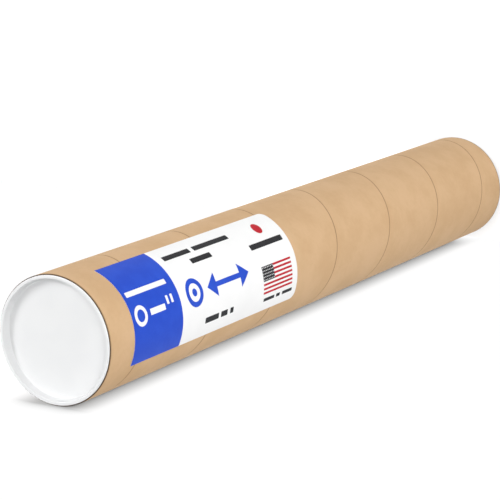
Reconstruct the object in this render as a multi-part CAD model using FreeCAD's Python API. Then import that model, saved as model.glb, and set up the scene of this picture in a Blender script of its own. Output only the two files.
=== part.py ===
import FreeCAD, Part

import math
import os

from FreeCAD import Vector

# Mailing tube standing on its end. Millimetres and degrees, +Z up.
# The origin is the middle of the bottom cap's lip face, which stands on the floor.
# The label's middle line faces -Y, and its print reads downwards.

# Spiral-wound board tube
bore_diameter = 127.0
wall = 3.175
board_length = 914.4

# Outer ply: a strip wound at a slant, with a narrow gap between neighbouring turns
ply_width = 125.6
seam_gap = 0.7
seam_depth = 0.35
seam_from_top = 93.0  # where the seam crosses the upright line at the next angle
seam_angle_from_label = 65.7  # from the label's middle line, counter-clockwise seen from above

# End caps: the same moulding in both ends
lip_height = 1.6
lip_inset = 0.975  # how much of the board's end shows round the lip
lip_edge_break = 0.5
recess_wall = 1.2  # from the bore to the recess, at the lip
recess_taper = 1.3
recess_depth = 9.0
recess_corner_break = 1.2
disc_thickness = 1.5
plug_depth = 19.0
skirt_wall = 1.5
plug_clearance = 0.05
lead_in_height = 3.0
lead_in_depth = 0.8

# Paper label
label_length = 323.85
label_height = 114.3
label_from_top = 42.0
label_corner_radius = 8.0
paper_thickness = 0.15
glue_line = 0.1

# Print: each ink is a thin skin on the paper
ink_thickness = 0.1
ink_gap = 0.01

# Places on the label: along it from its upper end, and across it from its middle line.
# What stands by its lower end is placed from that end.
blue_field_length = 88.0

# Lines left open in the blue field: start, length, middle across, height
open_bars = [
    (5.5, 71.5, 16.7, 5.6),
    (33.0, 27.0, -7.6, 6.4),
    (64.5, 4.0, -1.8, 9.0),
    (72.5, 4.0, -1.8, 9.0),
]

# Dark lines: start, length, middle across, height
dark_bars = [
    (100.0, 50.0, 40.2, 6.2),
    (157.0, 69.0, 40.2, 6.2),
    (137.0, 39.0, 26.8, 6.2),
    (132.0, 26.5, -39.2, 6.4),
    (163.0, 13.0, -39.2, 6.4),
    (181.5, 6.5, -39.2, 6.4),
]

# Dark lines by the lower end: distance from it, length, middle across, height
lower_dark_bars = [
    (9.85, 67.5, 17.6, 6.6),
    (48.35, 23.0, -43.7, 3.9),
    (36.35, 8.0, -43.7, 3.9),
    (9.85, 21.5, -43.7, 3.9),
]

# Wall figure: an open ring in the blue field
wall_figure_along = 16.3
wall_figure_across = -7.6
wall_figure_radius = 10.8
wall_figure_line = 4.4

# Size figure: a ring and a dot for the tube's end, and an arrow with two heads for its length
size_figure_across = -5.3
size_figure_line = 5.6
size_ring_along = 116.4
size_ring_radius = 15.4
size_dot_radius = 4.2
arrow_start = 141.0
arrow_length = 83.0
arrow_head_length = 18.0
arrow_head_height = 26.0

# Striped panel: red stripes with a dark corner field
panel_from_lower_end = 11.15
panel_length = 62.2
panel_across = -21.5
panel_height = 30.6
stripe_count = 7
corner_length = 24.1
corner_stripes = 4

# Round red mark
red_mark_from_lower_end = 39.35
red_mark_across = 37.4
red_mark_radius = 7.6

# Heights and radii that follow
bore_radius = bore_diameter / 2
outer_radius = bore_radius + wall
lip_radius = outer_radius - lip_inset
lip_inner_radius = bore_radius - recess_wall
recess_floor_radius = lip_inner_radius - recess_taper
board_bottom = lip_height
board_top = board_bottom + board_length
label_top = board_top - label_from_top
panel_start = label_length - panel_from_lower_end - panel_length
red_mark_along = label_length - red_mark_from_lower_end
paper_inner = outer_radius + glue_line
paper_outer = paper_inner + paper_thickness
ink_inner = paper_outer + ink_gap
ink_outer = ink_inner + ink_thickness
front_angle = -90.0
tool_length = 6.0
seam_overrun = 10.0
seam_cutter_overlap = 0.35
up = Vector(0, 0, 1)
centre = Vector(0, 0, 0)


def ring_edges(solid, radius, height):
    # The circular edges of a turned solid at one radius and height
    found = []
    for edge in solid.Edges:
        if not isinstance(edge.Curve, Part.Circle):
            continue
        same_radius = abs(edge.Curve.Radius - radius) < 1e-4
        if same_radius and abs(edge.Curve.Center.z - height) < 1e-4:
            found.append(edge)
    return found


def turned(points, angle=360):
    # A solid of revolution from a closed outline of (radius, height) points
    corners = [Vector(radius, 0, height) for radius, height in points]
    outline = Part.makePolygon(corners + corners[:1])
    return Part.Face(outline).revolve(centre, up, angle)


def arc_angle(width):
    # The angle that a width measured round the label takes
    return math.degrees(width / paper_outer)


def patch(start, length, across, height, inner, outer):
    # A curved rectangle of the label, between two radii
    high = label_top - start
    low = high - length
    outline = [(inner, low), (outer, low), (outer, high), (inner, high)]
    solid = turned(outline, arc_angle(height))
    solid.rotate(centre, up, front_angle + arc_angle(across - height / 2))
    return solid


def stand_out(tool, along, across):
    # Turns a tool from the middle of the plane so that it stands out through the label
    tool.translate(up * (outer_radius - 3))
    tool.rotate(centre, Vector(0, 1, 0), 90)
    tool.rotate(centre, up, front_angle + arc_angle(across))
    tool.translate(up * (label_top - along))
    return tool


def round_tool(along, across, radius):
    return stand_out(Part.makeCylinder(radius, tool_length), along, across)


def ring_tool(along, across, radius, line):
    tool = round_tool(along, across, radius)
    return tool.cut(round_tool(along, across, radius - line))


def ink_patch(start, length, across, height):
    return patch(start, length, across, height, ink_inner, ink_outer)


def open_patch(start, length, across, height):
    # The same rectangle as a cutter that reaches through the ink
    return patch(start, length, across, height, paper_inner, ink_outer + 1)


def seam_cutter():
    # The gap between turns of the outer ply, which closes at its foot. It winds left-handed
    # and runs out past both ends.
    spacing = ply_width + seam_gap
    slant = math.asin(spacing / (2 * math.pi * outer_radius))
    pitch = spacing / math.cos(slant)
    start_height = board_bottom - seam_overrun
    crossing = board_top - seam_from_top
    crossing_angle = front_angle + seam_angle_from_label
    start_angle = crossing_angle + (crossing - start_height) / pitch * 360
    length = board_length + 2 * seam_overrun
    helix = Part.makeLongHelix(pitch, length, outer_radius, 0, True)
    half = seam_gap / math.cos(slant) / 2
    flare = 1 + seam_cutter_overlap / seam_depth
    corners = [
        Vector(outer_radius - seam_depth, 0, 0),
        Vector(outer_radius + seam_cutter_overlap, 0, -half * flare),
        Vector(outer_radius + seam_cutter_overlap, 0, half * flare),
    ]
    outline = Part.makePolygon(corners + corners[:1])
    cutter = Part.Wire(helix.Edges).makePipeShell([outline], True, True)
    cutter.rotate(centre, up, start_angle)
    cutter.translate(up * start_height)
    return cutter


def make_tube():
    board = Part.makeCylinder(outer_radius, board_length, up * board_bottom)
    bore = Part.makeCylinder(bore_radius, board_length, up * board_bottom)
    return board.cut(bore).cut(seam_cutter())


def end_cap():
    # Height 0 is the board's end, and the lip stands out above it
    plug_radius = bore_radius - plug_clearance
    skirt_inner = plug_radius - skirt_wall
    floor = lip_height - recess_depth
    outline = [
        (0, floor - disc_thickness),
        (skirt_inner, floor - disc_thickness),
        (skirt_inner, -plug_depth),
        (plug_radius - lead_in_depth, -plug_depth),
        (plug_radius, lead_in_height - plug_depth),
        (plug_radius, 0),
        (lip_radius, 0),
        (lip_radius, lip_height),
        (lip_inner_radius, lip_height),
        (recess_floor_radius, floor),
        (0, floor),
    ]
    cap = turned(outline)
    cap = cap.makeChamfer(lip_edge_break, ring_edges(cap, lip_radius, lip_height))
    return cap.makeChamfer(recess_corner_break, ring_edges(cap, recess_floor_radius, floor))


def make_top_end_cap():
    cap = end_cap()
    cap.translate(up * board_top)
    return cap


def make_bottom_end_cap():
    cap = end_cap()
    cap.rotate(centre, Vector(1, 0, 0), 180)
    cap.translate(up * board_bottom)
    return cap


def make_label():
    # The lower corners are rounded, and the upper ones are cut square
    sheet = patch(0, label_length, 0, label_height, paper_inner, paper_outer)
    radius = label_corner_radius
    along = label_length - radius
    for side in (-1, 1):
        across = side * (label_height / 2 - radius)
        square = (along, radius, across + side * radius / 2, radius, paper_inner, paper_outer)
        corner = patch(*square)
        rounded = corner.common(round_tool(along, across, radius))
        sheet = sheet.cut(corner).fuse(rounded)
    return sheet.removeSplitter()


def make_blue_print():
    # The field over the label's upper end with its open lines, and the size figure
    wall_figure = (wall_figure_along, wall_figure_across, wall_figure_radius, wall_figure_line)
    openings = [open_patch(*bar) for bar in open_bars] + [ring_tool(*wall_figure)]
    field = ink_patch(0, blue_field_length, 0, label_height).cut(Part.makeCompound(openings))
    whole_ink = ink_patch(0, label_length, 0, label_height)
    figure = whole_ink.common(Part.makeCompound(size_figure()))
    return Part.makeCompound([field] + figure.Solids)


def size_figure():
    middle = (size_ring_along, size_figure_across)
    ring = ring_tool(*middle, size_ring_radius, size_figure_line)
    dot = round_tool(*middle, size_dot_radius)
    return [ring, dot, arrow_tool()]


def arrow_tool():
    # One closed outline: both heads and the shaft between them
    tip = arrow_length / 2
    neck = tip - arrow_head_length
    shaft = size_figure_line / 2
    head = arrow_head_height / 2
    half = [(-tip, 0), (-neck, head), (-neck, shaft), (neck, shaft), (neck, head), (tip, 0)]
    other_half = [(along, -across) for along, across in half[-2:0:-1]]
    corners = [Vector(along, across, 0) for along, across in half + other_half]
    outline = Part.makePolygon(corners + corners[:1])
    tool = Part.Face(outline).extrude(up * tool_length)
    return stand_out(tool, arrow_start + tip, size_figure_across)


def make_dark_print():
    height = stripe_height() * (2 * corner_stripes - 1)
    middle = panel_across + (panel_height - height) / 2
    solids = [ink_patch(panel_start, corner_length, middle, height)]
    solids += [ink_patch(*bar) for bar in dark_bars]
    for from_end, length, across, height in lower_dark_bars:
        solids.append(ink_patch(label_length - from_end - length, length, across, height))
    return Part.makeCompound(solids)


def stripe_height():
    return panel_height / (2 * stripe_count - 1)


def make_red_print():
    # The stripes, the upper ones shortened by the corner field, and the round mark
    stripes = []
    for number in range(stripe_count):
        shortened = corner_length if number < corner_stripes else 0
        middle = panel_across + panel_height / 2 - (2 * number + 0.5) * stripe_height()
        start = panel_start + shortened
        stripes.append(ink_patch(start, panel_length - shortened, middle, stripe_height()))
    size = 2 * red_mark_radius + 2
    square = ink_patch(red_mark_along - size / 2, size, red_mark_across, size)
    mark = square.common(round_tool(red_mark_along, red_mark_across, red_mark_radius))
    return Part.makeCompound(stripes + mark.Solids)


nodes = {
    "tube": make_tube,
    "top_end_cap": make_top_end_cap,
    "bottom_end_cap": make_bottom_end_cap,
    "label": make_label,
    "label_blue_print": make_blue_print,
    "label_dark_print": make_dark_print,
    "label_red_print": make_red_print,
}

os.makedirs("parts", exist_ok=True)
for name, make in nodes.items():
    shape = make()
    shape.exportStep(f"parts/{name}.step")
    print(name, len(shape.Solids), "solids", round(shape.Volume / 1000, 2), "cm3")
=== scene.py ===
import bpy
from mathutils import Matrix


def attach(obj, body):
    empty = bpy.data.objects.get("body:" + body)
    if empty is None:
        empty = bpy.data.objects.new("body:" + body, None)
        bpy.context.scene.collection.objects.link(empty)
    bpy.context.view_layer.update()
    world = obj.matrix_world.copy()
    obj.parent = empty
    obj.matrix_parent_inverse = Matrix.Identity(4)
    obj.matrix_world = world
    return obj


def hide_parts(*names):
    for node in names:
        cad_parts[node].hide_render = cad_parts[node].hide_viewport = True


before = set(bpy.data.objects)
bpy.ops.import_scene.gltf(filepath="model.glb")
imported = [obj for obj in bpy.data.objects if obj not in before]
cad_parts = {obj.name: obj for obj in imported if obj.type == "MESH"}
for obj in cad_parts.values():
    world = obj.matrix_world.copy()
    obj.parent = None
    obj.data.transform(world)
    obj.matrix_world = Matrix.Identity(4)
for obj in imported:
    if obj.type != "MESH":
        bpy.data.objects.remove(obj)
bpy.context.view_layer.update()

import math

import bmesh
import bpy
from mathutils import Matrix, Vector

# Cardboard mailing tube, standing on its end at the origin. The label's middle line faces -Y.
scene = bpy.context.scene
mm = 0.001
turn = 2 * math.pi
sharpAngle = math.radians(32)
white = (1, 1, 1, 1)
print("frame loaded:", len(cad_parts), "nodes")


class Wire:
    # An output socket. Sums on it add Math nodes to its tree.
    def __init__(self, tree, socket):
        self.tree = tree
        self.socket = socket

    def out(self, name):
        return Wire(self.tree, self.socket.node.outputs[name])

    def maths(self, operation, *values):
        return self.tree.add("ShaderNodeMath", {"operation": operation}, dict(enumerate(values)))

    def __add__(self, other):
        return self.maths("ADD", self, other)

    def __radd__(self, other):
        return self.maths("ADD", other, self)

    def __sub__(self, other):
        return self.maths("SUBTRACT", self, other)

    def __rsub__(self, other):
        return self.maths("SUBTRACT", other, self)

    def __mul__(self, other):
        return self.maths("MULTIPLY", self, other)

    def __rmul__(self, other):
        return self.maths("MULTIPLY", other, self)

    def __truediv__(self, other):
        return self.maths("DIVIDE", self, other)

    def __rtruediv__(self, other):
        return self.maths("DIVIDE", other, self)


class NodeTree:
    # A shader or geometry tree. Every node comes from add: settings first, then its sockets.
    def __init__(self, tree):
        self.tree = tree

    def add(self, kind, settings=None, values=None, out=0):
        node = self.tree.nodes.new(kind)
        for name, value in (settings or {}).items():
            setattr(node, name, value)
        for place, value in (values or {}).items():
            socket = node.inputs[place]
            for part in value if isinstance(value, list) else [value]:
                if isinstance(part, Wire):
                    self.tree.links.new(part.socket, socket)
                else:
                    socket.default_value = part
        return Wire(self, node.outputs[out]) if len(node.outputs) else None

    def split(self, vector):
        return self.add("ShaderNodeSeparateXYZ", None, {0: vector})

    def turned(self, radius, angle, height):
        # The place at a radius and an angle round Z
        x = radius * angle.maths("COSINE", angle)
        y = radius * angle.maths("SINE", angle)
        return self.add("ShaderNodeCombineXYZ", None, {0: x, 1: y, 2: height})

    def stretch(self, vector, scales):
        return self.add("ShaderNodeVectorMath", {"operation": "MULTIPLY"}, {0: vector, 1: scales})

    def noise(self, vector, scale, detail=2.0, roughness=0.5):
        values = {"Vector": vector, "Scale": scale, "Detail": detail, "Roughness": roughness}
        return self.add("ShaderNodeTexNoise", None, values)

    def blend(self, factor, first, second):
        # Inputs 6 and 7 of a colour Mix node are its two colours, and output 2 is the result
        if isinstance(first, tuple):
            first = (*first, 1)
        values = {0: factor, 6: first, 7: (*second, 1)}
        return self.add("ShaderNodeMix", {"data_type": "RGBA"}, values, 2)

    def bump(self, height, distance, strength):
        values = {"Height": height, "Distance": distance, "Strength": strength}
        return self.add("ShaderNodeBump", None, values)

    def ease(self, value, low, top):
        # 0 below low, 1 above top, smooth between
        settings = {"interpolation_type": "SMOOTHSTEP"}
        values = {"Value": value, "From Min": low, "From Max": top, "To Min": 0.0, "To Max": 1.0}
        return self.add("ShaderNodeMapRange", settings, values)

    def near(self, value, low, top, share=1.0):
        # share below low, 0 above top, smooth between
        return (1 - self.ease(value, low, top)) * share


def newMaterial(name):
    # An empty material, its tree and the place on the piece
    material = bpy.data.materials.new(name)
    material.use_nodes = True
    material.node_tree.nodes.clear()
    tree = NodeTree(material.node_tree)
    return material, tree, tree.add("ShaderNodeTexCoord").out("Object")


def finishSurface(tree, look, colour, roughness, relief):
    values = {"Base Color": colour, "Roughness": roughness, "Specular IOR Level": look["specular"]}
    values["Normal"] = tree.bump(relief, *look["bump"])
    shader = tree.add("ShaderNodeBsdfPrincipled", None, values)
    tree.add("ShaderNodeOutputMaterial", None, {"Surface": shader})


def shapeTree(name, kinds):
    # A Geometry Nodes group with a named input for each label and its type
    group = bpy.data.node_groups.new(name, "GeometryNodeTree")
    sockets = {float: "NodeSocketFloat", int: "NodeSocketInt", bpy.types.Material: "NodeSocketMaterial"}
    for way in ("OUTPUT", "INPUT"):
        group.interface.new_socket("Geometry", in_out=way, socket_type="NodeSocketGeometry")
    for label, kind in kinds.items():
        group.interface.new_socket(label, in_out="INPUT", socket_type=sockets[kind])
    tree = NodeTree(group)
    return tree, tree.add("NodeGroupInput")


def endShapeTree(tree, geometry, values):
    whole = tree.add("GeometryNodeRealizeInstances", None, {"Geometry": geometry})
    dressed = tree.add("GeometryNodeSetMaterial", None, {"Geometry": whole, **values})
    tree.add("NodeGroupOutput", None, {"Geometry": dressed})


def runShapeTree(piece, tree, values):
    # Runs a tree on a piece and keeps the result as its plain mesh, without empty material slots
    modifier = piece.modifiers.new(tree.tree.name, "NODES")
    modifier.node_group = tree.tree
    for item in tree.tree.interface.items_tree:
        if item.in_out == "INPUT" and item.name in values:
            modifier[item.identifier] = values[item.name]
    graph = bpy.context.evaluated_depsgraph_get()
    shown = piece.evaluated_get(graph)
    made = bpy.data.meshes.new_from_object(shown, preserve_all_data_layers=True, depsgraph=graph)
    piece.modifiers.remove(modifier)
    for number in reversed(range(len(made.materials))):
        if made.materials[number] is None:
            made.materials.pop(index=number)
    piece.data = made


def newPiece(name, data):
    piece = bpy.data.objects.new(name, data)
    scene.collection.objects.link(piece)
    return piece


def finishPiece(piece, body, nodes):
    piece.data.shade_smooth()
    piece.data.set_sharp_from_angle(angle=sharpAngle)
    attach(piece, body)
    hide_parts(*nodes)
    print(piece.name, len(piece.data.polygons), "faces")


def rounded(outline, steps):
    # Rounds the corners of an outline of (radius, height, rounding)
    points = []
    for number, (radius, height, rounding) in enumerate(outline):
        corner = Vector((radius, height))
        if rounding == 0:
            points.append(tuple(corner))
            continue
        before = (Vector(outline[number - 1][:2]) - corner).normalized()
        after = (Vector(outline[number + 1][:2]) - corner).normalized()
        half = before.angle(after) / 2
        middle = corner + (before + after).normalized() * rounding / math.sin(half)
        start = corner + before * rounding / math.tan(half) - middle
        end = corner + after * rounding / math.tan(half) - middle
        for step in range(steps + 1):
            points.append(tuple(middle + start.slerp(end, step / steps).normalized() * rounding))
    return points


def meshFrom(bm, name):
    mesh = bpy.data.meshes.new(name)
    bm.to_mesh(mesh)
    bm.free()
    return mesh


def lathe(name, outline, columns):
    # Turns an open outline of (radius, height) about Z, with a pole where it meets the axis
    bm = bmesh.new()
    rings = []
    for radius, height in outline:
        if radius == 0:
            rings.append([bm.verts.new((0, 0, height))] * columns)
            continue
        ring = []
        for column in range(columns):
            angle = turn * column / columns
            ring.append(bm.verts.new((radius * math.cos(angle), radius * math.sin(angle), height)))
        rings.append(ring)
    for first, second in zip(rings, rings[1:]):
        for column in range(columns):
            after = (column + 1) % columns
            corners = [first[column], first[after], second[after], second[column]]
            bm.faces.new(list(dict.fromkeys(corners)))
    return meshFrom(bm, name)


# The board tube: a lathed wall without its outer side, and the outer ply wound round it
# with its open seam. Lengths are in metres.
board = {
    "outerRadius": 66.675 * mm,
    "boreRadius": 63.5 * mm,
    "bottom": 1.6 * mm,
    "top": 916.0 * mm,
    "edgeRound": 0.22 * mm,
    "edgeMiddle": 0.3,
    "columns": 144,
    "boreRows": 8,
    "rows": 41,
    "rowCrowding": 0.975,
    "mergeReach": 0.02 * mm,
    "turnHeight": 132.46 * mm,
    "seamHeight": 823.0 * mm,
    "seamAngle": math.radians(-24.3),
    "seamHalf": 0.42 * mm,
    "seamDepth": 0.35 * mm,
    "plyCount": 7,
}
plySlant = math.atan(board["turnHeight"] / (turn * board["outerRadius"]))
plyWidth = board["turnHeight"] * math.cos(plySlant)

# The board's three looks. A range is where a change starts and ends. An edge is where its
# darker line is full and where it is gone, and how strong it is. A bump is its distance and
# strength.
kraft = {
    "light": (0.597, 0.398, 0.226),
    "dark": (0.547, 0.355, 0.192),
    "fleck": (0.36, 0.21, 0.095),
    "seam": (0.2, 0.115, 0.05),
    "fibreScales": (160, 1500, 1),
    "threadScales": (420, 3600, 1),
    "formationScale": 190.0,
    "cloudScale": 26.0,
    "cloudTone": 1.2,
    "formationTone": 0.45,
    "fibreTone": 0.25,
    "toneRange": (0.64, 1.26),
    "threadRange": (0.66, 0.75),
    "threadShare": 0.25,
    "wornEdge": (0.2 * mm, 3.2 * mm, 0.16),
    "seamEdge": (0.3 * mm, 0.8 * mm, 0.8),
    # Painted shade along both rims, where the caps' lips meet the board
    "paintedRimShade": (0.6 * mm, 2.4 * mm, 0.8),
    "fibreRelief": 0.4,
    "threadRelief": 0.25,
    "formationRelief": 0.2,
    "bump": (0.05 * mm, 0.5),
    "roughness": 0.68,
    "fibreRoughness": 0.16,
    "specular": 0.3,
}
cut = {
    "light": (0.47, 0.31, 0.175),
    "dark": (0.25, 0.155, 0.082),
    # Painted shade: the outer band of each cut end, beyond the cap's lip, stands in for the shadow in the
    # gap
    "paintedGapShade": (0.05, 0.028, 0.015),
    "fuzzScale": 900.0,
    "fuzzShare": 0.5,
    "chipScale": 260.0,
    "chipShare": 0.5,
    "plyRange": (0.35, 0.85),
    "paintedGapShadeRange": (65.2 * mm, 65.8 * mm),
    "paintedGapShadeShare": 0.9,
    "bump": (0.12 * mm, 0.8),
    "roughness": 0.88,
    "specular": 0.5,
}
lining = {
    "light": (0.58, 0.4, 0.235),
    "dark": (0.47, 0.31, 0.17),
    "seam": (0.22, 0.13, 0.065),
    "turnHeight": 118 * mm,
    "formationScale": 240.0,
    "formationTone": 0.6,
    "cloudScale": 30.0,
    "cloudTone": 0.5,
    "toneRange": (0.38, 0.72),
    "seamEdge": (0.25 * mm, 0.7 * mm, 0.8),
    "bump": (0.1 * mm, 0.6),
    "roughness": 0.8,
    "specular": 0.5,
}


def kraftFace():
    # Fibres run along the wound strip. Its edges are darker, and both rims carry painted shade where the
    # caps' lips meet the board.
    material, tree, body = newMaterial("kraftFace")
    strip = tree.add("ShaderNodeUVMap", {"uv_map": "plyMap"})
    across = tree.split(strip).out("Y")
    height = tree.split(body).out("Z")
    fibres = tree.noise(tree.stretch(strip, kraft["fibreScales"]), 1.0, 3.0, 0.6)
    threads = tree.noise(tree.stretch(strip, kraft["threadScales"]), 1.0)
    formation = tree.noise(body, kraft["formationScale"], 3.0, 0.55)
    clouds = tree.noise(body, kraft["cloudScale"])
    tone = kraft["cloudTone"] * clouds + kraft["formationTone"] * formation + kraft["fibreTone"] * fibres
    colour = tree.blend(tree.ease(tone, *kraft["toneRange"]), kraft["dark"], kraft["light"])
    flecks = tree.ease(threads, *kraft["threadRange"]) * kraft["threadShare"]
    colour = tree.blend(flecks, colour, kraft["fleck"])
    fromSeam = across.maths("MINIMUM", across, plyWidth - across)
    colour = tree.blend(tree.near(fromSeam, *kraft["wornEdge"]), colour, kraft["fleck"])
    colour = tree.blend(tree.near(fromSeam, *kraft["seamEdge"]), colour, kraft["seam"])
    # Painted shade along both rims, in the seam's colour, standing in for the shade under the caps' lips
    fromRim = height.maths("MINIMUM", height - board["bottom"], board["top"] - height)
    colour = tree.blend(tree.near(fromRim, *kraft["paintedRimShade"]), colour, kraft["seam"])
    roughness = kraft["roughness"] + kraft["fibreRoughness"] * fibres
    relief = kraft["fibreRelief"] * fibres + kraft["threadRelief"] * threads
    relief = relief + kraft["formationRelief"] * formation
    finishSurface(tree, kraft, colour, roughness, relief)
    return material


def cutBoard():
    # The cut ends show the plies as rings that step outwards as they wind, with painted shade on the outer
    # band beyond the caps' lips
    material, tree, body = newMaterial("cutBoard")
    parts = tree.split(body)
    x = parts.out("X")
    y = parts.out("Y")
    radius = x.maths("SQRT", x * x + y * y)
    angle = x.maths("ARCTAN2", y, x) / turn
    plyThickness = (board["outerRadius"] - board["boreRadius"]) / board["plyCount"]
    layer = (radius - board["boreRadius"]) / plyThickness + angle
    ring = layer.maths("PINGPONG", layer, 0.5) * 2
    fuzz = tree.noise(body, cut["fuzzScale"], 3.0, 0.6)
    chips = tree.noise(body, cut["chipScale"])
    plies = tree.ease(ring + cut["fuzzShare"] * fuzz, *cut["plyRange"])
    plies = plies * (1 - cut["chipShare"] + cut["chipShare"] * chips)
    colour = tree.blend(plies, cut["dark"], cut["light"])
    # Painted shade on the outer band of the cut end, beyond the cap's lip
    paintedGapShade = tree.ease(radius, *cut["paintedGapShadeRange"]) * cut["paintedGapShadeShare"]
    colour = tree.blend(paintedGapShade, colour, cut["paintedGapShade"])
    finishSurface(tree, cut, colour, cut["roughness"], ring + fuzz)
    return material


def kraftLining():
    # The bore's lining is greyer and rougher, and has a spiral seam of its own
    material, tree, body = newMaterial("kraftLining")
    parts = tree.split(body)
    angle = parts.maths("ARCTAN2", parts.out("Y"), parts.out("X")) / turn
    wind = parts.out("Z") / lining["turnHeight"] + angle
    fromSeam = wind.maths("PINGPONG", wind, 0.5) * lining["turnHeight"]
    formation = tree.noise(body, lining["formationScale"], 3.0, 0.6)
    clouds = tree.noise(body, lining["cloudScale"])
    tone = lining["formationTone"] * formation + lining["cloudTone"] * clouds
    colour = tree.blend(tree.ease(tone, *lining["toneRange"]), lining["dark"], lining["light"])
    colour = tree.blend(tree.near(fromSeam, *lining["seamEdge"]), colour, lining["seam"])
    finishSurface(tree, lining, colour, lining["roughness"], formation)
    return material


def woundPly():
    # Wraps a grid round the tube. Its columns are upright, and its rows follow the seam and
    # crowd beside it. What would pass the ends is laid along the rim and merged.
    inputs = {
        "Outer radius": board["outerRadius"],
        "Lower rim": board["bottom"] + board["edgeRound"],
        "Upper rim": board["top"] - board["edgeRound"],
        "Turn height": board["turnHeight"],
        "Seam height": board["seamHeight"],
        "Seam angle": board["seamAngle"],
        "Seam half width": board["seamHalf"],
        "Seam depth": board["seamDepth"],
        "Columns in a turn": board["columns"],
        "Rows": board["rows"],
        "Ply material": kraftFace(),
    }
    tree, given = shapeTree("woundPly", {label: type(value) for label, value in inputs.items()})
    height = given.out("Turn height")
    low = given.out("Lower rim")
    top = given.out("Upper rim")
    seamHeight = given.out("Seam height")
    seamAngle = given.out("Seam angle")
    step = turn / given.out("Columns in a turn")
    firstAngle = seamAngle + (seamHeight - top) / height * turn
    lastAngle = seamAngle + (seamHeight + height - low) / height * turn
    firstColumn = step.maths("FLOOR", firstAngle / step)
    span = step.maths("CEIL", lastAngle / step) - firstColumn
    sizes = {"Size X": span, "Size Y": 1.0, "Vertices X": span + 1, "Vertices Y": given.out("Rows")}
    grid = tree.add("GeometryNodeMeshGrid", None, sizes)
    flat = tree.split(tree.add("GeometryNodeInputPosition"))
    angle = (flat.out("X") + span / 2 + firstColumn) * step
    row = flat.out("Y") + 0.5
    share = row - board["rowCrowding"] / turn * row.maths("SINE", row * turn)
    seamAt = seamHeight - (angle - seamAngle) / turn * height
    free = seamAt + share * height
    inside = free.maths("GREATER_THAN", free, low) * free.maths("LESS_THAN", free, top)
    away = share.maths("MINIMUM", share, 1 - share) * height
    groove = away.maths("MAXIMUM", 1 - away / given.out("Seam half width"), 0.0)
    radius = given.out("Outer radius") - given.out("Seam depth") * groove * inside
    level = free.maths("MINIMUM", free.maths("MAXIMUM", free, low), top)
    spot = tree.turned(radius, angle, level)
    # plyMap runs along and across the unwound strip, in metres
    along = angle * board["outerRadius"] * math.cos(plySlant) - free * math.sin(plySlant)
    stripSpot = tree.add("ShaderNodeCombineXYZ", None, {0: along, 1: share * plyWidth})
    settings = {"data_type": "FLOAT2", "domain": "CORNER"}
    values = {"Geometry": grid, "Name": "plyMap", "Value": stripSpot}
    mapped = tree.add("GeometryNodeStoreNamedAttribute", settings, values)
    settings = {"data_type": "BOOLEAN", "domain": "FACE"}
    values = {"Geometry": mapped, "Name": "isPly", "Value": True}
    marked = tree.add("GeometryNodeStoreNamedAttribute", settings, values)
    wound = tree.add("GeometryNodeSetPosition", None, {"Geometry": marked, "Position": spot})
    joined = tree.add("GeometryNodeJoinGeometry", None, {0: [given, wound]})
    values = {"Geometry": joined, "Distance": board["mergeReach"]}
    merged = tree.add("GeometryNodeMergeByDistance", None, values)
    isPly = tree.add("GeometryNodeInputNamedAttribute", {"data_type": "BOOLEAN"}, {"Name": "isPly"})
    endShapeTree(tree, merged, {"Selection": isPly, "Material": given.out("Ply material")})
    return tree, inputs


def makeBoard():
    outer, bore, low, top = (board[key] for key in ("outerRadius", "boreRadius", "bottom", "top"))
    edge = board["edgeRound"]
    half = board["edgeMiddle"] * edge
    rows = board["boreRows"]
    wall = [(outer, low + edge), (outer - half, low + half), (outer - edge, low)]
    wall += [(bore + edge, low), (bore + half, low + half), (bore, low + edge)]
    wall += [(bore, low + (top - low) * row / rows) for row in range(1, rows)]
    wall += [(bore, top - edge), (bore + half, top - half), (bore + edge, top)]
    wall += [(outer - edge, top), (outer - half, top - half), (outer, top - edge)]
    mesh = lathe("boardTube", wall[::-1], board["columns"])
    mesh.materials.append(cutBoard())
    mesh.materials.append(kraftLining())
    for face in mesh.polygons:
        onBore = abs(face.normal.z) < 0.01 and low + edge < face.center.z < top - edge
        face.material_index = int(onBore)
    piece = newPiece("boardTube", mesh)
    runShapeTree(piece, *woundPly())
    finishPiece(piece, "board_tube", ["tube"])


makeBoard()

# End caps: the same moulding in both ends, in mm, with heights from the board's end
cap = {
    "lipHeight": 1.6,
    "lipRadius": 65.7,
    "lipInner": 62.3,
    "lipUnderRound": 0.15,
    "lipOuterRound": 0.75,
    "lipInnerRound": 0.6,
    "recessFloor": 61.0,
    "recessDepth": 9.0,
    "recessRound": 1.6,
    "disc": 1.5,
    "discRound": 0.8,
    "plugRadius": 63.45,
    "plugDepth": 19.0,
    "plugEndRound": 0.3,
    "leadInSlope": 0.8,
    "leadInHeight": 3.0,
    "leadInRound": 1.5,
    "skirt": 1.5,
    "columns": 160,
    "arcSteps": 5,
}
plastic = {
    "dull": (0.79, 0.797, 0.803),
    "clean": (0.815, 0.82, 0.823),
    "flowScale": 22.0,
    "flowRange": (0.3, 0.7),
    "grainScale": 1500.0,
    "bump": (0.02 * mm, 0.5),
    "roughness": 0.36,
    "flowRoughness": 0.1,
    "specular": 0.5,
}


def capPlastic():
    material, tree, body = newMaterial("capPlastic")
    grain = tree.noise(body, plastic["grainScale"])
    flow = tree.noise(body, plastic["flowScale"])
    colour = tree.blend(tree.ease(flow, *plastic["flowRange"]), plastic["dull"], plastic["clean"])
    roughness = plastic["roughness"] + plastic["flowRoughness"] * flow
    finishSurface(tree, plastic, colour, roughness, grain)
    return material


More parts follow.
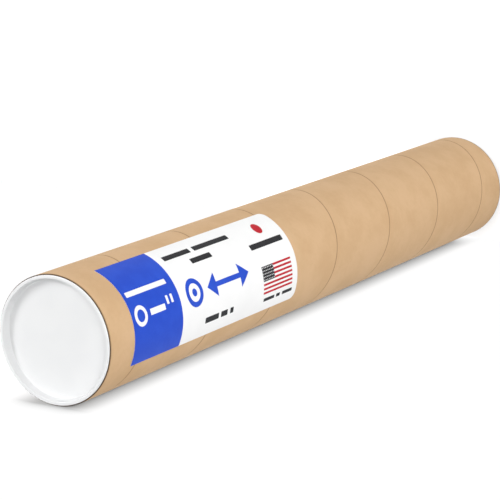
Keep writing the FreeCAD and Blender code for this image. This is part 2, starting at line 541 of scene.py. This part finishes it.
def makeCaps():
    inner = cap["plugRadius"] - cap["skirt"]
    floor = cap["lipHeight"] - cap["recessDepth"]
    outline = [
        (0, floor - cap["disc"], 0),
        (inner, floor - cap["disc"], cap["discRound"]),
        (inner, -cap["plugDepth"], cap["plugEndRound"]),
        (cap["plugRadius"] - cap["leadInSlope"], -cap["plugDepth"], cap["plugEndRound"]),
        (cap["plugRadius"], cap["leadInHeight"] - cap["plugDepth"], cap["leadInRound"]),
        (cap["plugRadius"], 0, 0),
        (cap["lipRadius"], 0, cap["lipUnderRound"]),
        (cap["lipRadius"], cap["lipHeight"], cap["lipOuterRound"]),
        (cap["lipInner"], cap["lipHeight"], cap["lipInnerRound"]),
        (cap["recessFloor"], floor, cap["recessRound"]),
        (0, floor, 0),
    ]
    section = [(radius * mm, height * mm) for radius, height in rounded(outline, cap["arcSteps"])]
    material = capPlastic()
    ends = (
        ("topCap", "top_cap", "top_end_cap", board["top"], 1),
        ("bottomCap", "bottom_cap", "bottom_end_cap", board["bottom"], -1),
    )
    for name, body, node, end, way in ends:
        # The lower cap is the upper one upside down, and its outline runs the other way
        outline = [(radius, end + way * height) for radius, height in section[::way]]
        mesh = lathe(name, outline, cap["columns"])
        mesh.materials.append(material)
        finishPiece(newPiece(name, mesh), body, [node])


makeCaps()

# The label. Its length, height, corners and strips are in mm, on the flat sheet.
label = {
    "length": 323.85,
    "height": 114.3,
    "cornerRadius": 8.0,
    "cornerSteps": 6,
    "strip": 1.6,
    "cutReach": 1e-7,
    "mergeReach": 0.001 * mm,
    "top": 874.0 * mm,
    "paperInner": 66.775 * mm,
    "paperOuter": 66.925 * mm,
    "inkInner": 66.935 * mm,
    "inkOuter": 66.985 * mm,
}
paper = {
    "dull": (0.82, 0.82, 0.82),
    "clean": (0.85, 0.85, 0.848),
    "toothScale": 1100.0,
    "cloudScale": 34.0,
    "toneShare": 0.5,
    "toneRange": (0.35, 0.65),
    "bump": (0.012 * mm, 0.5),
    "roughness": 0.45,
    "toothRoughness": 0.12,
    "specular": 0.3,
}
inks = {
    "blueInk": {"full": (0.014, 0.062, 0.49), "thin": (0.019, 0.076, 0.54), "roughness": 0.45},
    "darkInk": {"full": (0.01, 0.01, 0.012), "thin": (0.018, 0.018, 0.021), "roughness": 0.5},
    "redInk": {"full": (0.42, 0.004, 0.014), "thin": (0.48, 0.008, 0.022), "roughness": 0.45},
    "grainScale": 1600.0,
    "grainTone": 0.4,
    "layScale": 60.0,
    "layTone": 0.6,
    "toneRange": (0.38, 0.68),
    "bump": (0.01 * mm, 0.4),
    "grainRoughness": 0.1,
    "specular": 0.12,
}


def flatPiece(name, loops):
    # A flat outline cut into strips that are narrow enough to bend round the tube
    bm = bmesh.new()
    for loop in loops:
        corners = [bm.verts.new((along * mm, across * mm, 0)) for along, across in loop]
        for first, second in zip(corners, corners[1:] + corners[:1]):
            bm.edges.new((first, second))
    bmesh.ops.triangle_fill(bm, use_beauty=True, edges=bm.edges)
    strips = math.ceil(label["height"] / label["strip"])
    for number in range(1, strips):
        place = (0, (number / strips - 0.5) * label["height"] * mm, 0)
        cutting = {"plane_co": place, "plane_no": (0, 1, 0), "dist": label["cutReach"]}
        bmesh.ops.bisect_plane(bm, geom=bm.verts[:] + bm.edges[:] + bm.faces[:], **cutting)
    for face in bm.faces:
        face.normal_update()
        if face.normal.z < 0:
            face.normal_flip()
    return meshFrom(bm, name)


def wrapRound():
    # Gives a flat outline its thickness and bends it round the tube, print side out
    lengths = ("Inner radius", "Thickness", "Bend radius", "Top", "Front angle")
    kinds = {**dict.fromkeys(lengths, float), "Material": bpy.types.Material}
    tree, given = shapeTree("wrapRound", kinds)
    up = tree.add("ShaderNodeCombineXYZ", None, {2: given.out("Thickness")})
    values = {"Mesh": given, "Offset": up, "Offset Scale": 1.0, "Individual": False}
    raised = tree.add("GeometryNodeExtrudeMesh", None, values)
    back = tree.add("GeometryNodeFlipFaces", None, {"Mesh": given})
    joined = tree.add("GeometryNodeJoinGeometry", None, {0: [raised, back]})
    values = {"Geometry": joined, "Distance": label["mergeReach"]}
    solid = tree.add("GeometryNodeMergeByDistance", None, values)
    flat = tree.split(tree.add("GeometryNodeInputPosition"))
    angle = given.out("Front angle") + flat.out("Y") / given.out("Bend radius")
    radius = given.out("Inner radius") + flat.out("Z")
    spot = tree.turned(radius, angle, given.out("Top") - flat.out("X"))
    bent = tree.add("GeometryNodeSetPosition", None, {"Geometry": solid, "Position": spot})
    endShapeTree(tree, bent, {"Material": given.out("Material")})
    return tree


def labelPaper():
    material, tree, body = newMaterial("labelPaper")
    tooth = tree.noise(body, paper["toothScale"], 3.0, 0.6)
    clouds = tree.noise(body, paper["cloudScale"])
    tone = paper["toneShare"] * clouds + paper["toneShare"] * tooth
    colour = tree.blend(tree.ease(tone, *paper["toneRange"]), paper["dull"], paper["clean"])
    roughness = paper["roughness"] + paper["toothRoughness"] * tooth
    finishSurface(tree, paper, colour, roughness, tooth)
    return material


def ink(name):
    # Print on coated paper, a little uneven in density
    own = inks[name]
    material, tree, body = newMaterial(name)
    grain = tree.noise(body, inks["grainScale"])
    lay = tree.noise(body, inks["layScale"], 3.0)
    tone = inks["layTone"] * lay + inks["grainTone"] * grain
    colour = tree.blend(tree.ease(tone, *inks["toneRange"]), own["full"], own["thin"])
    roughness = own["roughness"] + inks["grainRoughness"] * grain
    finishSurface(tree, inks, colour, roughness, grain)
    return material


# What is printed, in mm. Places are along from the label's upper end, and across from its
# middle line. Bars are (start, length, across, height), rings (along, across, radius, line).
prints = {
    "blueField": (0, 88.0, 0, 114.3),
    "openBars": [
        (5.5, 71.5, 16.7, 5.6), (33.0, 27.0, -7.6, 6.4),
        (64.5, 4.0, -1.8, 9.0), (72.5, 4.0, -1.8, 9.0),
    ],
    "openRing": (16.3, -7.6, 10.8, 4.4),
    "sizeRing": (116.4, -5.3, 15.4, 5.6),
    "sizeRingSides": 64,
    "sizeDot": 4.2,
    "arrow": (141.0, 83.0, 18.0, 26.0),
    "darkBars": [
        (100.0, 50.0, 40.2, 6.2), (157.0, 69.0, 40.2, 6.2), (137.0, 39.0, 26.8, 6.2),
        (132.0, 26.5, -39.2, 6.4), (163.0, 13.0, -39.2, 6.4), (181.5, 6.5, -39.2, 6.4),
        (246.5, 67.5, 17.6, 6.6),
        (252.5, 23.0, -43.7, 3.9), (279.5, 8.0, -43.7, 3.9), (292.5, 21.5, -43.7, 3.9),
    ],
    "panel": (250.5, 62.2, -21.5, 30.6),
    "stripes": 7,
    "cornerLength": 24.1,
    "cornerStripes": 4,
    "dotRows": 5,
    "dotColumns": 7,
    "dotRadius": 0.75,
    "dotSides": 10,
    "redMark": (284.5, 37.4, 7.6),
    "softCorner": 0.7,
}


def box(start, length, across, height, rounding=0.0, corners=(1, 1, 1, 1)):
    # A rectangle with rounded corners: upper left, lower left, lower right, upper right
    low, high, end = across - height / 2, across + height / 2, start + length
    places = [(start, high, 1, -1), (start, low, 1, 1), (end, low, -1, 1), (end, high, -1, -1)]
    steps = label["cornerSteps"]
    points = []
    for number, (along, side, inAlong, inSide) in enumerate(places):
        if not rounding or not corners[number]:
            points.append((along, side))
            continue
        middle = (along + inAlong * rounding, side + inSide * rounding)
        for step in range(steps + 1):
            angle = math.pi / 2 * (number + 1 + step / steps)
            points.append((middle[0] + rounding * math.cos(angle), middle[1] + rounding * math.sin(angle)))
    return points


def circle(along, across, radius, sides=48):
    points = []
    for number in range(sides):
        angle = turn * number / sides
        points.append((along + radius * math.cos(angle), across + radius * math.sin(angle)))
    return points


def ring(along, across, radius, line, sides=48):
    return [circle(along, across, radius, sides), circle(along, across, radius - line, sides)]


def arrow():
    # One arrow with two heads, on the size ring's line and as thick as its ring
    start, length, head, width = prints["arrow"]
    across, line = prints["sizeRing"][1], prints["sizeRing"][3]
    middle, tip, neck = start + length / 2, length / 2, length / 2 - head
    half = [(-tip, 0), (-neck, width / 2), (-neck, line / 2), (neck, line / 2), (neck, width / 2), (tip, 0)]
    whole = half + [(along, -side) for along, side in half[-2:0:-1]]
    return [(middle + along, across + side) for along, side in whole]


def blueLoops():
    along, across = prints["sizeRing"][:2]
    loops = [box(*prints["blueField"])]
    loops += [box(*bar, prints["softCorner"]) for bar in prints["openBars"]]
    loops += ring(*prints["openRing"]) + ring(*prints["sizeRing"], prints["sizeRingSides"])
    return loops + [circle(along, across, prints["sizeDot"]), arrow()]


def panelSizes():
    # Height of a stripe, and height and middle of the field in the panel's corner
    middle, height = prints["panel"][2:]
    stripe = height / (2 * prints["stripes"] - 1)
    field = stripe * (2 * prints["cornerStripes"] - 1)
    return stripe, field, middle + (height - field) / 2


def darkLoops():
    start = prints["panel"][0]
    length, rows, columns = (prints[key] for key in ("cornerLength", "dotRows", "dotColumns"))
    field, fieldMiddle = panelSizes()[1:]
    loops = [box(*bar, prints["softCorner"]) for bar in prints["darkBars"]]
    loops.append(box(start, length, fieldMiddle, field))
    for row in range(rows):
        for column in range(columns):
            along = start + length * (column + 0.5) / columns
            across = fieldMiddle + field * ((row + 0.5) / rows - 0.5)
            loops.append(circle(along, across, prints["dotRadius"], prints["dotSides"]))
    return loops


def redLoops():
    start, length, middle, height = prints["panel"]
    stripe = panelSizes()[0]
    loops = [circle(*prints["redMark"])]
    for number in range(prints["stripes"]):
        shortened = prints["cornerLength"] if number < prints["cornerStripes"] else 0
        across = middle + height / 2 - (2 * number + 0.5) * stripe
        loops.append(box(start + shortened, length - shortened, across, stripe))
    return loops


def makeLabel():
    sheet = [box(0, label["length"], 0, label["height"], label["cornerRadius"], (0, 0, 1, 1))]
    blueInk, darkInk, redInk = ink("blueInk"), ink("darkInk"), ink("redInk")
    tree = wrapRound()
    under = (label["paperInner"], label["paperOuter"])
    over = (label["inkInner"], label["inkOuter"])
    layers = (
        ("paperLabel", "label", sheet, labelPaper(), "label_paper", under),
        ("bluePrint", "label_blue_print", blueLoops(), blueInk, "blue_ink", over),
        ("darkPrint", "label_dark_print", darkLoops(), darkInk, "dark_ink", over),
        ("redPrint", "label_red_print", redLoops(), redInk, "red_ink", over),
    )
    for name, node, loops, material, slot, (inner, outer) in layers:
        piece = newPiece(name, flatPiece(name, loops))
        values = {
            "Inner radius": inner,
            "Thickness": outer - inner,
            "Bend radius": label["paperOuter"],
            "Top": label["top"],
            "Front angle": -turn / 4,
            "Material": material,
        }
        runShapeTree(piece, tree, values)
        finishPiece(piece, "board_tube", [node])


makeLabel()

# Studio: the photo's up and near directions, its camera, soft light, a floor and a backdrop.
# The backdrop stands where the photo's table is, and only the camera sees it. Both are clear
# from behind, and plain white far from the tube.
photoUp = Vector((0.9114, -0.4115, 0))
photoNear = Vector((-0.4115, -0.9114, 0))
upright = Vector((0, 0, 1))
studio = {
    "cameraPlace": (0.0100, -1.2951, 2.5176),
    "cameraForward": (0.00253, 0.54587, -0.83786),
    "cameraUp": (0.93537, -0.29759, -0.19106),
    "lens": 150.348,
    "sensorWidth": 36,
    "clipEnd": 100,
    "aim": Vector((0, 0, 0.46)),
    "ambient": 0.29,
    "contactReach": 34 * mm,
    "contactSamples": 48,
    "whiteRange": (1.3, 2.6),
    "floorHalf": 15,
    "backdropSize": 6,
    "backdropGap": 0.4 * mm,
    # Degrees round the tube from the photo's up towards its viewer, height, distance,
    # width and height of the panel, watts
    "lights": {
        "over": (4, 0.46, 3.4, 2.6, 0.9, 44.0),
        "low": (94, 0.46, 3.4, 2.6, 0.9, 56.0),
        "back": (236, 0.46, 3.4, 2.6, 0.9, 80.0),
        "front": (76, 3.6, 3.0, 2.4, 2.4, 88.0),
        "cap": (-50, 3.4, 2.6, 1.6, 1.6, 86.0),
    },
    "floor": {"colour": 0.36, "lift": 0.92, "contactStart": 0.03, "softness": 0.55},
    "backdrop": {
        "colour": 0.05,
        "lift": 1.18,
        "contactStart": 0.05,
        "softness": 0.15,
        "most": 0.985,
        "footHeight": 55 * mm,
        "patchShare": 0.5,
        "patchFall": 8 * mm,
        "patchShift": 5 * mm,
        "patchSides": (15 * mm, 55 * mm),
    },
}


def aimed(forward, upward):
    forward = Vector(forward).normalized()
    right = forward.cross(Vector(upward)).normalized()
    return Matrix((right, right.cross(forward), -forward)).transposed()


def makeCamera():
    data = bpy.data.cameras.new("camera")
    data.lens = studio["lens"]
    data.sensor_width = studio["sensorWidth"]
    data.clip_end = studio["clipEnd"]
    camera = newPiece("camera", data)
    camera.matrix_world = aimed(studio["cameraForward"], studio["cameraUp"]).to_4x4()
    camera.location = studio["cameraPlace"]
    scene.camera = camera


def makeLights():
    for name, (around, height, distance, width, tall, power) in studio["lights"].items():
        data = bpy.data.lights.new(name, "AREA")
        data.shape = "RECTANGLE"
        data.size = width
        data.size_y = tall
        data.energy = power
        light = newPiece(name, data)
        level = photoUp * math.cos(math.radians(around)) + photoNear * math.sin(math.radians(around))
        spot = level * distance + upright * height
        light.matrix_world = aimed(studio["aim"] - spot, upright).to_4x4()
        light.location = spot
        light.visible_camera = False


def seenDirectly(tree):
    # 1 for camera, glossy and transmission rays
    path = tree.add("ShaderNodeLightPath")
    seen = path.out("Is Camera Ray")
    for kind in ("Is Glossy Ray", "Is Transmission Ray"):
        seen = seen.maths("MAXIMUM", seen, path.out(kind))
    return seen


def makeWorld():
    world = bpy.data.worlds.new("studio")
    scene.world = world
    world.use_nodes = True
    world.node_tree.nodes.clear()
    tree = NodeTree(world.node_tree)
    ambient = tree.add("ShaderNodeBackground", None, {"Color": white, "Strength": studio["ambient"]})
    plain = tree.add("ShaderNodeBackground", None, {"Color": white, "Strength": 1.0})
    shown = tree.add("ShaderNodeMixShader", None, {0: seenDirectly(tree), 1: ambient, 2: plain})
    tree.add("ShaderNodeOutputWorld", None, {"Surface": shown})


def capShadow(tree, own, body, height):
    # 1 with a soft dark patch on the table in front of the upper cap
    side = tree.add("ShaderNodeVectorMath", {"operation": "DOT_PRODUCT"}, {0: body, 1: photoNear}, "Value")
    ahead = height - (board["top"] + cap["lipHeight"] * mm)
    fall = ahead.maths("EXPONENT", ahead.maths("MAXIMUM", ahead, 0.0) / -own["patchFall"])
    offside = side + own["patchShift"]
    patch = fall * tree.near(offside.maths("ABSOLUTE", offside), *own["patchSides"])
    return 1 - own["patchShare"] * patch


def stageMaterial(name):
    # Matte and lifted to white where it is looked at, so that only the object's shadow shows
    own = studio[name]
    material, tree, body = newMaterial(name)
    distance = tree.add("ShaderNodeVectorMath", {"operation": "LENGTH"}, {0: body}, "Value")
    far = tree.ease(distance, *studio["whiteRange"])
    settings = {"samples": studio["contactSamples"]}
    clear = tree.add("ShaderNodeAmbientOcclusion", settings, {"Distance": studio["contactReach"]}, "AO")
    clear = clear.maths("MAXIMUM", clear - own["contactStart"], 0.0)
    lift = own["lift"] * clear.maths("POWER", clear, own["softness"])
    if name == "backdrop":
        height = tree.split(body).out("Z")
        far = far.maths("MAXIMUM", far, tree.near(height, 0.0, own["footHeight"]))
        lift = lift.maths("MINIMUM", lift, own["most"]) * capShadow(tree, own, body, height)
    tint = tree.add("ShaderNodeCombineColor", None, {0: lift, 1: lift, 2: lift})
    matte = tree.add("ShaderNodeBsdfDiffuse", None, {"Color": (*[own["colour"]] * 3, 1)})
    glow = tree.add("ShaderNodeEmission", None, {"Color": tint, "Strength": 1.0})
    lifted = tree.add("ShaderNodeAddShader", None, {0: matte, 1: glow})
    shown = tree.add("ShaderNodeMixShader", None, {0: seenDirectly(tree), 1: matte, 2: lifted})
    plain = tree.add("ShaderNodeEmission", None, {"Color": white, "Strength": 1.0})
    shown = tree.add("ShaderNodeMixShader", None, {0: far * seenDirectly(tree), 1: shown, 2: plain})
    nothing = tree.add("ShaderNodeBsdfTransparent")
    behind = tree.add("ShaderNodeNewGeometry").out("Backfacing")
    shown = tree.add("ShaderNodeMixShader", None, {0: behind, 1: shown, 2: nothing})
    tree.add("ShaderNodeOutputMaterial", None, {"Surface": shown})
    return material


def stagePlane(name, corners):
    mesh = bpy.data.meshes.new(name)
    mesh.from_pydata(corners, [], [(0, 1, 2, 3)])
    mesh.materials.append(stageMaterial(name))
    plane = newPiece(name, mesh)
    return plane


def makeStage():
    half = studio["floorHalf"]
    stagePlane("floor", [(-half, -half, 0), (half, -half, 0), (half, half, 0), (-half, half, 0)])
    foot = photoUp * (-board["outerRadius"] - studio["backdropGap"])
    side = photoNear * studio["backdropSize"]
    rise = upright * studio["backdropSize"]
    wall = stagePlane("backdrop", [foot + side, foot - side, foot - side + rise, foot + side + rise])
    wall.visible_diffuse = False
    wall.visible_glossy = False
    wall.visible_transmission = False
    wall.visible_shadow = False


makeCamera()
makeLights()
makeWorld()
makeStage()
scene.view_settings.view_transform = "Standard"
print("studio ready")
